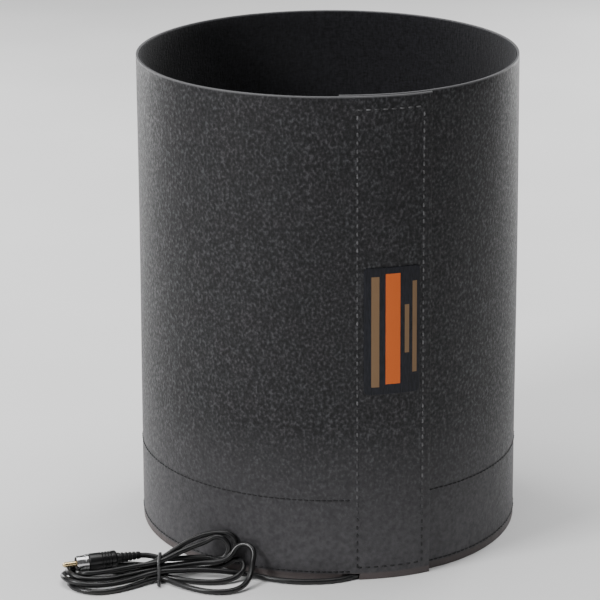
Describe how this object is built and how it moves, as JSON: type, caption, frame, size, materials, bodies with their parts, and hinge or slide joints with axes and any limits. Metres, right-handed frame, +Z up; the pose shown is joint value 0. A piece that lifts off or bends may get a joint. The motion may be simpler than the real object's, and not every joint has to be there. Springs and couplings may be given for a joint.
{
  "type": "heated dew shield",
  "caption": "Flexible heated dew shield: a black sheet rolled into an open tube with a hook and loop overlap, a heater pocket round its foot and a tied lead ending in a phono plug.",
  "frame": {"origin": "middle of the foot's circle, on the surface that the shield stands on", "axes": "+Z up along the tube, -Y towards the side with the overlap and the label"},
  "size_m": [0.2839, 0.2651, 0.302],
  "materials": {
    "sheet_plastic": "matte, fine mottled grain",
    "lining_felt": "matte felt",
    "hook_tape": "matte",
    "loop_tape": "matte, fuzzy",
    "pocket_cloth": "matte",
    "dark_thread": "satin",
    "grey_thread": "satin",
    "label_cloth": "satin",
    "heater_tape": "satin",
    "crimp_metal": "satin",
    "cord_jacket": "satin",
    "tie_plastic": "satin",
    "plug_plastic": "satin",
    "plug_nickel": "polished",
    "pin_metal": "polished",
    "insulator_plastic": "satin"
  },
  "bodies": {
    "root": {"outer_sheet": "sheet_plastic", "felt_lining": "lining_felt", "hook_strip": "hook_tape", "loop_strip": "loop_tape", "heater_pocket": "pocket_cloth", "heating_ribbon": "heater_tape", "crimp_joint": "crimp_metal", "lead_tail": "cord_jacket", "pocket_seam": "dark_thread", "hem_seam": "dark_thread", "strip_seam": "grey_thread", "label_patch": "label_cloth", "cord_lead": "cord_jacket", "cord_hank": "cord_jacket", "twist_tie": "tie_plastic", "plug_pin": "pin_metal", "plug_contact_ring": "plug_nickel", "plug_insulator": "insulator_plastic", "plug_body": "plug_plastic", "plug_strain_relief": "plug_plastic"}
  },
  "joints": []
}
